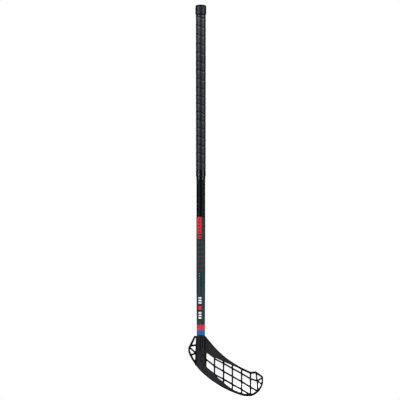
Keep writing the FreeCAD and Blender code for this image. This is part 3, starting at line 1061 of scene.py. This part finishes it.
@dataclass
class Blade:
    """The moulding with its bond.

    Tables of shares follow the moulding's front view: across, a share of the
    heel's reach left of the axis and of the toe's reach right of it; down, a
    share of the drop below the socket's mouth. Widths in tables are millimetres,
    and so are the flutes and ribs, across and down from the mouth.
    """

    screw: LockScrew
    mouth: float = -0.940
    reach: float = 176.3 * MM
    heel: float = 35.6 * MM
    drop: float = 170.0 * MM
    bend_radius: float = 1.559
    rim_widths: Tuple[float, ...] = (
        5.4, 6.1, 5.9, 5.8, 7.8, 6.7, 6.1, 4.8, 5.3, 5.4, 6.0, 6.0, 5.6, 5.9, 5.9)
    rim_grows: Tuple[float, ...] = (
        0.9, 0.45, 1.0, 0.75, 1.1, 0.5, 0.45, 0.8, 1.3, 1.4, 1.3, 1.1, 0.9, 0.75, 0.8)
    rim_depth: float = 9.0 * MM
    bar_depth: float = 7.0 * MM
    squareness: float = 0.55
    rod_columns: int = 20
    line_points: int = 24
    arc_points: int = 48
    edge_step: float = 0.8 * MM
    edge_easing: int = 2
    bar_step: float = 0.9 * MM
    bar_easing: int = 3
    web_depth: float = 7.0 * MM
    web_inset: float = 2.5 * MM
    web_start: float = 12.0 * MM
    web_rows: int = 40
    upper_web_columns: int = 120
    lower_web_columns: int = 160
    panel_depth: float = 5.6 * MM
    panel_margin: float = 2.6 * MM
    panel_slope: float = 0.8 * MM
    least_gap: float = 0.01 * MM
    socket_radius: float = 13.45 * MM
    socket_lip: float = 0.4 * MM
    bore_radius: float = 11.85 * MM
    bore_floor: float = -1.0056
    boss_full: float = -1.0081
    boss_end: float = -1.0315
    side_rows: int = 110
    runout_rows: int = 40
    boss_columns: int = 220
    runout_slope: float = 0.24
    flutes: Tuple[Table, ...] = (
        ((-1.7, 4.0), (-1.7, 40.0)), ((4.6, 4.0), (4.6, 32.0)), ((10.9, 7.0), (10.9, 37.0)),
        ((4.6, 50.5), (10.4, 57.0)), ((-0.6, 66.5), (4.8, 74.5)))
    ribs: Tuple[Table, ...] = (((1.5, 4.0), (1.5, 38.0)), ((7.6, 5.0), (7.6, 37.0)))
    flute_width: float = 2.1 * MM
    flute_depth: float = 1.4 * MM
    flute_front: Span = (0.0, -2.0 * MM)
    flat_margin: float = 0.15 * MM
    # Painted highlight on the socket's ribs.
    rib_light: float = 1.1
    # Painted shade: the rods darkened against the webs.
    rod_shade: float = 0.75
    rod_span: Span = (1.6 * MM, 0.0)
    # Painted shade over the socket, stronger towards its mouth than at its lower end.
    boss_shade: Span = (0.34, 0.14)
    boss_span: Span = (-0.99, -0.976)
    voxel: float = 0.85 * MM
    ease_factor: float = 0.5
    ease_rounds: int = 3
    outline: Tuple[Table, ...] = (
        ((-0.34, 0.0), (-0.526, 0.0)),
        ((-0.526, 0.0), (-0.93, 0.172)),
        ((-0.93, 0.172), (-1.0, 0.213), (-0.962, 0.272)),
        ((-0.962, 0.272), (-0.43, 0.474), (0.082, 0.657)),
        ((0.082, 0.657), (0.412, 0.884), (0.7, 0.997)),
        ((0.7, 0.997), (0.758, 1.0), (0.8, 0.9985)),
        ((0.8, 0.9985), (0.897, 0.95), (0.988, 0.812)),
        ((0.988, 0.812), (1.0, 0.74), (0.997, 0.684)),
        ((0.997, 0.684), (0.992, 0.672), (0.983, 0.664)),
        ((0.983, 0.664), (0.893, 0.599)),
        ((0.893, 0.599), (0.88, 0.592), (0.863, 0.593)),
        ((0.863, 0.593), (0.803, 0.6)),
        ((0.803, 0.6), (0.565, 0.477), (0.348, 0.317)),
        ((0.348, 0.317), (0.267, 0.237), (0.187, 0.147)),
        ((0.187, 0.147), (0.069, 0.0)),
    )
    lower_runs: Tuple[int, int] = (3, 5)
    upper_runs: Tuple[int, int] = (12, 15)
    upper_web_foot: Table = (
        (0.066, 0.276), (0.086, 0.283), (0.122, 0.3), (0.187, 0.353), (0.212, 0.364), (0.232, 0.3605),
        (0.3, 0.393), (0.362, 0.4245), (0.412, 0.447), (0.476, 0.473), (0.541, 0.503), (0.565, 0.513))
    lower_web_top: Table = (
        (-0.4, 0.44), (0.08, 0.44), (0.086, 0.504), (0.122, 0.541), (0.187, 0.595), (0.219, 0.621),
        (0.232, 0.66), (0.251, 0.677), (0.283, 0.702), (0.315, 0.728), (0.348, 0.752), (0.412, 0.811),
        (0.476, 0.863), (0.541, 0.906), (0.57, 0.926))
    bars: Tuple[Tuple[float, Table], ...] = (
        (4.6, ((-0.33, 0.004), (-0.361, 0.207), (-0.38, 0.3), (-0.413, 0.49))),
        (4.4, ((0.08, 0.004), (0.08, 0.64))),
        (4.4, ((0.22, 0.33), (0.22, 0.64))),
        (4.4, ((0.365, 0.4), (0.365, 0.78))),
        (4.4, ((0.508, 0.46), (0.508, 0.92))),
        (4.3, ((0.656, 0.54), (0.656, 0.98))),
        (4.6, ((0.798, 0.61), (0.798, 0.985))),
        (4.0, ((0.89, 0.61), (0.899, 0.722), (0.915, 0.739))),
        (4.4, ((0.915, 0.739), (0.91, 0.757), (0.909, 0.845), (0.916, 0.915))),
        (4.3, ((0.219, 0.378), (0.364, 0.453))),
        (4.6, ((0.364, 0.453), (0.507, 0.539), (0.655, 0.622), (0.798, 0.71), (0.837, 0.72), (0.878, 0.737),
               (0.915, 0.739))),
        (4.0, ((0.915, 0.737), (0.99, 0.69))),
        (3.9, ((0.915, 0.741), (0.985, 0.81))),
        (4.6, ((0.066, 0.373), (0.217, 0.498), (0.364, 0.588), (0.51, 0.673), (0.653, 0.757))),
        (4.9, ((0.653, 0.757), (0.798, 0.847), (0.887, 0.902), (0.925, 0.926))),
        (4.2, ((0.219, 0.636), (0.275, 0.669), (0.365, 0.718))),
        (5.0, ((0.365, 0.718), (0.508, 0.805), (0.652, 0.886))),
        (4.7, ((0.652, 0.886), (0.785, 0.969))),
        (5.1, ((-0.93, 0.17), (-0.33, 0.146))),
        (4.8, ((-0.94, 0.18), (-0.33, 0.296))),
        (5.1, ((-0.86, 0.322), (-0.33, 0.28))),
    )

    def front(self, shares: Table) -> Array:
        """Shares as places in the front view.

        Args:
            shares: across and down.

        Returns:
            The x and z of each place.
        """
        across, down = np.array(shares, dtype=float).T
        across = across * np.where(across > 0, self.reach, self.heel)
        return np.stack([across, self.mouth - down * self.drop], axis=1)

    def bend(self, across: Array) -> Array:
        """Depth of the hooked middle surface: a circle about an axis in front of the shaft."""
        return np.sqrt(self.bend_radius ** 2 - across ** 2) - self.bend_radius

    def run(self, shares: Table) -> Array:
        """One run of the outline: a line, or the arc through three points.

        The arc's centre c solves |p - c| = |q - c| = |r - c|, and its points turn
        evenly from the first angle to the last.

        Args:
            shares: two points for a line, three for an arc.

        Returns:
            Points along the run.
        """
        points = self.front(shares)
        if len(points) == 2:
            return np.linspace(*points, self.line_points)
        square = (points ** 2).sum(axis=1)
        centre = np.linalg.solve(2 * (points[1:] - points[0]), square[1:] - square[0])
        angle = np.unwrap(np.arctan2(*(points - centre).T[::-1]))
        turn = np.linspace(angle[0], angle[2], self.arc_points)
        radius = np.linalg.norm(points[0] - centre)
        return centre + radius * np.stack([np.cos(turn), np.sin(turn)], axis=1)

    def edge(self, first: int, last: int) -> Array:
        """Outline from one run up to another, at even steps."""
        return resampled(np.vstack([self.run(shares) for shares in self.outline[first:last]]), self.edge_step)

    def rod(self, path: Array, width: Union[float, Array], depth: float) -> Skin:
        """Rounded rod along a front-view path on the hooked surface, closed at both ends.

        The section is a superellipse: aside = w/2 |cos u|^s, depth = d/2 |sin u|^s
        with their signs, carried square to the path and shrunk to a point at the ends.

        Args:
            path: x and z along the rod.
            width: its width in the front view, one or for each point.
            depth: its depth.

        Returns:
            The closed skin.
        """
        turn = even_angles(self.rod_columns)
        waves = np.stack([np.cos(turn), np.sin(turn)])
        wide, deep = np.sign(waves) * np.abs(waves) ** self.squareness
        size = np.ones(len(path))
        size[[0, -1]] = 0.0
        aside = wide * (size * width / 2)[:, None]
        across, height = np.moveaxis(path[:, None] + leftward(path)[:, None] * aside[..., None], -1, 0)
        depths = self.bend(across) + deep * depth / 2 * size[:, None]
        return grid_skin(np.stack([across, depths, height], axis=-1), wrap_columns=True)

    def web(self, across: Array, top: Array, foot: Array) -> Skin:
        """Plate between two edges with a sunk panel inside its margin, closed all round.

        For each x a share t runs from the top edge to the foot. Half the depth is
        that of the web, less the panel's sinking past the margin from each edge.

        Args:
            across: x of each column.
            top: height of the upper edge there.
            foot: height of the lower edge there.

        Returns:
            The closed skin.
        """
        t = np.linspace(0.0, 1.0, self.web_rows)
        height = top[:, None] * (1 - t) + foot[:, None] * t
        gap = np.maximum(top - foot, self.least_gap)[:, None]
        inside = np.minimum(np.minimum(t * gap, (1 - t) * gap), np.abs(across - across[0])[:, None])
        sunk = smoothstep(self.panel_margin, self.panel_margin + self.panel_slope, inside)
        half = (self.web_depth - sunk * (self.web_depth - self.panel_depth)) / 2
        half[[0, -1]] = 0.0
        wide = np.repeat(across[:, None], len(t), axis=1)
        fronts, backs = (np.stack([wide, self.bend(wide) + side * half, height], axis=-1) for side in (-1, 1))
        return grid_skin(np.concatenate([fronts, backs[:, ::-1]], axis=1), wrap_columns=True)

    def web_edges(self) -> Tuple[Tuple[Array, Array, Array], ...]:
        """Edges of the upper and the lower web: one along the rim, one from its table.

        Returns:
            For each web, x and the heights of its upper and its lower edge.
        """
        lower, upper = self.edge(*self.lower_runs), self.edge(*self.upper_runs)[::-1]
        foot, crest = self.front(self.upper_web_foot), self.front(self.lower_web_top)
        right = np.linspace(self.web_start, foot[-1, 0], self.upper_web_columns)
        top = np.interp(right, *upper.T) - self.web_inset
        across = np.linspace(crest[0, 0], crest[-1, 0], self.lower_web_columns)
        sole = np.interp(across, *lower.T) + self.web_inset
        return ((right, top, np.minimum(np.interp(right, *foot.T), top)),
                (across, np.maximum(np.interp(across, *crest.T), sole), sole))

    def lattice(self) -> Skin:
        """Rim, bars and webs as closed skins that run into each other.

        The rim's width runs evenly between those of the outline's runs, so that it
        is heaviest along the sole.

        Returns:
            All of them in one skin.
        """
        outline = smoothed(self.edge(0, len(self.outline)), self.edge_easing)
        lengths = np.array([travelled(self.run(shares))[-1] for shares in self.outline])
        middles = lengths.cumsum() - lengths / 2
        width, grow = (np.interp(travelled(outline), middles, np.array(sizes) * MM)
                       for sizes in (self.rim_widths, self.rim_grows))
        middle = outline + leftward(outline) * (width / 2 - grow)[:, None]
        whole = self.rod(smoothed(middle, self.edge_easing), width, self.rim_depth)
        for wide, shares in self.bars:
            path = smoothed(resampled(self.front(shares), self.bar_step), self.bar_easing)
            whole = whole.joined(self.rod(path, wide * MM, self.bar_depth))
        for edges in self.web_edges():
            whole = whole.joined(self.web(*edges))
        return whole

    def rod_shades(self, points: Array) -> Array:
        """Painted shade of the lattice: full on its rods, fading out inside the webs.

        The depth inside a web is the lesser of the distances below its upper edge
        and above its lower one. Beside the web both edges lie at the mouth, with
        nothing between them.

        Args:
            points: x, y, z of the lattice's points.

        Returns:
            The shade at each point.
        """
        across, height = points[:, 0], points[:, 2]
        inside = np.zeros(len(points))
        for columns, *edges in self.web_edges():
            high, low = (np.interp(across, columns, edge, self.mouth, self.mouth) for edge in edges)
            inside = np.maximum(inside, np.minimum(high - height, height - low))
        return self.rod_shade * smoothstep(*self.rod_span, inside)

    def near(self, place: Array, lines: Tuple[Table, ...]) -> Array:
        """Closeness to the nearest of several lines, exp(-(d / w)^4) at a distance d.

        Args:
            place: points across and down from the mouth.
            lines: start and end of each line.

        Returns:
            1 on a line, 0 away from all.
        """
        most = np.zeros(place.shape[:-1])
        for start, end in np.array(lines) * MM:
            run = end - start
            along = np.clip(((place - start) @ run) / (run @ run), 0.0, 1.0)
            away = np.linalg.norm(place - start - along[..., None] * run, axis=-1)
            most = np.maximum(most, np.exp(-(away / (self.flute_width / 2)) ** 4))
        return most

    def boss(self) -> Tuple[Skin, Array]:
        """Socket: a turned cup that runs out below, with flutes and a flat for the screw.

        The radius is the turned profile's, less the flutes' depth where a flute's
        centre line is near in the front view. Inside the screw's flat the back is
        held to the seat's depth.

        Returns:
            The closed skin, and the painted shade at each of its points: full in a flute,
            stronger towards the mouth, and least on the ribs between, where it turns to a painted highlight.
        """
        lip, bore, wall = self.socket_lip, self.bore_radius, self.socket_radius
        t = np.linspace(0.0, 1.0, self.runout_rows)[1:]
        drawn = self.runout_slope * t + (1.0 - self.runout_slope) * t ** 2
        side = np.linspace(self.mouth - lip, self.boss_full, self.side_rows)
        runout = np.stack([wall + (self.rim_depth / 2 - wall) * drawn,
                           self.boss_full + (self.boss_end - self.boss_full) * t], axis=1)
        profile = np.vstack([
            [[0.0, self.bore_floor], [bore, self.bore_floor], [bore, self.mouth - lip]],
            [[bore + lip, self.mouth], [wall - lip, self.mouth]],
            np.stack([np.full_like(side, wall), side], axis=1), runout, [[0.0, self.boss_end]]])
        grid = revolved(profile, self.boss_columns)
        outer = (profile[:, 0] > bore + lip)[:, None]
        shown = smoothstep(*self.flute_front, grid[..., 1]) * outer
        place = np.stack([grid[..., 0], self.mouth - grid[..., 2]], axis=-1)
        sunk, raised = (self.near(place, lines) * shown for lines in (self.flutes, self.ribs))
        grid[..., :2] *= (1.0 - sunk * self.flute_depth / wall)[..., None]
        away = np.hypot(grid[..., 0], grid[..., 2] - self.screw.place)
        flat = outer & (grid[..., 1] > self.screw.seat) & (away < self.screw.head + self.flat_margin)
        grid[..., 1] = np.where(flat, self.screw.seat, grid[..., 1])
        # Painted shade over the socket and in its flutes, and a painted highlight on its ribs.
        high, deep = self.boss_shade
        shade = deep + (high - deep) * smoothstep(*self.boss_span, grid[..., 2])
        shade = shade + (1.0 - shade) * (sunk - self.rib_light * raised)
        return grid_skin(grid, wrap_columns=True), shade.ravel()

    def skinned(self) -> Skin:
        """The lattice with one skin drawn over all of it, eased, and held inside the solids' box.

        Returns:
            The skin.
        """
        rough = mesh_object("blade_rough", self.lattice())
        cover = rough.modifiers.new("one_skin", "REMESH")
        cover.mode = "VOXEL"
        cover.voxel_size = self.voxel
        ease = rough.modifiers.new("ease", "SMOOTH")
        ease.factor = self.ease_factor
        ease.iterations = self.ease_rounds
        whole = bpy.data.meshes.new_from_object(rough.evaluated_get(bpy.context.evaluated_depsgraph_get()))
        points = np.empty(3 * len(whole.vertices))
        whole.vertices.foreach_get("co", points)
        corners = np.empty(len(whole.loops), dtype=np.int32)
        whole.loops.foreach_get("vertex_index", corners)
        bpy.data.objects.remove(rough)
        return Skin(np.clip(points.reshape(-1, 3), *np.array(cad_box)), corners.reshape(-1, 4))

    def build(self) -> None:
        """Sets the socket into the lattice as one moulding, and dresses the hidden bond."""
        lattice = self.skinned()
        boss, shade = self.boss()
        # The seam values carry the painted shade of the rods and the socket and the painted highlight of its
        # ribs.
        seam = np.concatenate([self.rod_shades(lattice.points), shade])
        values = {"seam": seam, "lip": np.zeros_like(seam)}
        piece = mesh_object("blade_moulding", lattice.joined(boss), sharp=50.0, values=values)
        enter(piece, PLASTIC, "blade")
        keep("socket_bond", MELT)


# Studio


@dataclass(frozen=True)
class Softbox:
    """An area light: degrees from the camera's side, to the right, height, size and watts."""

    name: str
    angle: float
    height: float
    size: Span
    power: float


@dataclass
class Studio:
    """Camera, floor, two tall softboxes and a weak fill before and behind."""

    middle: Tuple[float, float, float] = (-0.00235, 0.0, -0.5539)
    field: float = 1.1348
    distance: float = 6.0
    sensor: float = 36.0
    clip_end: float = 100.0
    dim: Colour = (0.9, 0.95, 1.0)
    dim_strength: float = 0.02
    floor_height: float = -1.110
    floor_radius: float = 0.45
    floor_rings: int = 8
    floor_columns: int = 96
    floor_grey: float = 0.92
    floor_roughness: float = 0.9
    floor_glow: float = 0.9
    light_ring: float = 2.2
    lights: Tuple[Softbox, ...] = (
        Softbox("left_softbox", -55.0, -0.3, (0.5, 2.0), 42.0),
        Softbox("right_softbox", 56.0, -0.3, (0.45, 2.0), 40.0),
        Softbox("front_fill", -4.0, 0.6, (1.2, 1.2), 8.0),
        Softbox("back_fill", 180.0, -0.75, (0.5, 1.2), 9.0),
    )

    def camera(self) -> None:
        """Long lens from the front at the stick's mid-height."""
        lens = bpy.data.cameras.new("camera")
        lens.sensor_width = self.sensor
        lens.lens = self.distance * self.sensor / self.field
        lens.clip_end = self.clip_end
        view = bpy.data.objects.new("camera", lens)
        view.location = (self.middle[0], -self.distance, self.middle[2])
        view.rotation_euler = (math.pi / 2, 0.0, 0.0)
        bpy.context.scene.collection.objects.link(view)
        bpy.context.scene.camera = view

    def light(self, box: Softbox) -> None:
        """Area light on a ring round the stick, turned to its axis.

        Args:
            box: where it stands, its size and its power.
        """
        lamp = bpy.data.lights.new(box.name, "AREA")
        lamp.shape = "RECTANGLE"
        lamp.size, lamp.size_y = box.size
        lamp.energy = box.power
        body = bpy.data.objects.new(box.name, lamp)
        turn = math.radians(box.angle)
        body.location = (self.light_ring * math.sin(turn), -self.light_ring * math.cos(turn), box.height)
        aim = math.atan2(box.height - self.middle[2], self.light_ring)
        body.rotation_euler = (math.pi / 2 - aim, 0.0, turn)
        body.visible_camera = False
        bpy.context.scene.collection.objects.link(body)

    def world(self) -> None:
        """White behind the stick, dim grey in its reflections."""
        world = bpy.data.worlds.new("studio")
        world.use_nodes = True
        desk = Desk(world.node_tree)
        desk.tree.nodes.clear()
        mix = desk.add("ShaderNodeMixShader")
        desk.feed(mix.inputs[0], desk.add("ShaderNodeLightPath").outputs["Is Camera Ray"])
        for place, colour, strength in ((1, self.dim, self.dim_strength), (2, WHITE, 1.0)):
            sky = desk.add("ShaderNodeBackground")
            desk.feed(sky.inputs["Color"], (*colour, 1.0))
            desk.feed(sky.inputs["Strength"], strength)
            desk.feed(mix.inputs[place], sky.outputs[0])
        desk.feed(desk.add("ShaderNodeOutputWorld").inputs["Surface"], mix.outputs[0])
        bpy.context.scene.world = world

    def floor(self) -> None:
        """Pale round floor under the blade."""
        radius = np.linspace(0.0, self.floor_radius, self.floor_rings)[:, None]
        grid = polar(radius, even_angles(self.floor_columns), self.floor_height)
        floor = mesh_object("studio_floor", grid_skin(grid, wrap_columns=True))
        bench = Bench("studio_floor")
        grey = (self.floor_grey, self.floor_grey, self.floor_grey, 1.0)
        bench.set(Base_Color=grey, Roughness=self.floor_roughness,
                  Emission_Color=(*WHITE, 1.0), Emission_Strength=self.floor_glow)
        floor.data.materials.append(bench.material)

    def build(self) -> None:
        """Sets up the whole studio."""
        self.camera()
        self.world()
        self.floor()
        for box in self.lights:
            self.light(box)
        bpy.context.scene.view_settings.view_transform = "Standard"


def main() -> None:
    """Builds the stick and its studio."""
    logging.basicConfig(level=logging.INFO, format="%(name)s %(message)s")
    shaft, screw = Shaft(), LockScrew()
    grip = Grip(shaft)
    for part in (shaft, grip, FinishingTape(grip), EndCap(), Blade(screw), screw, Studio()):
        part.build()
    bpy.context.view_layer.update()


if __name__ == "__main__":
    main()
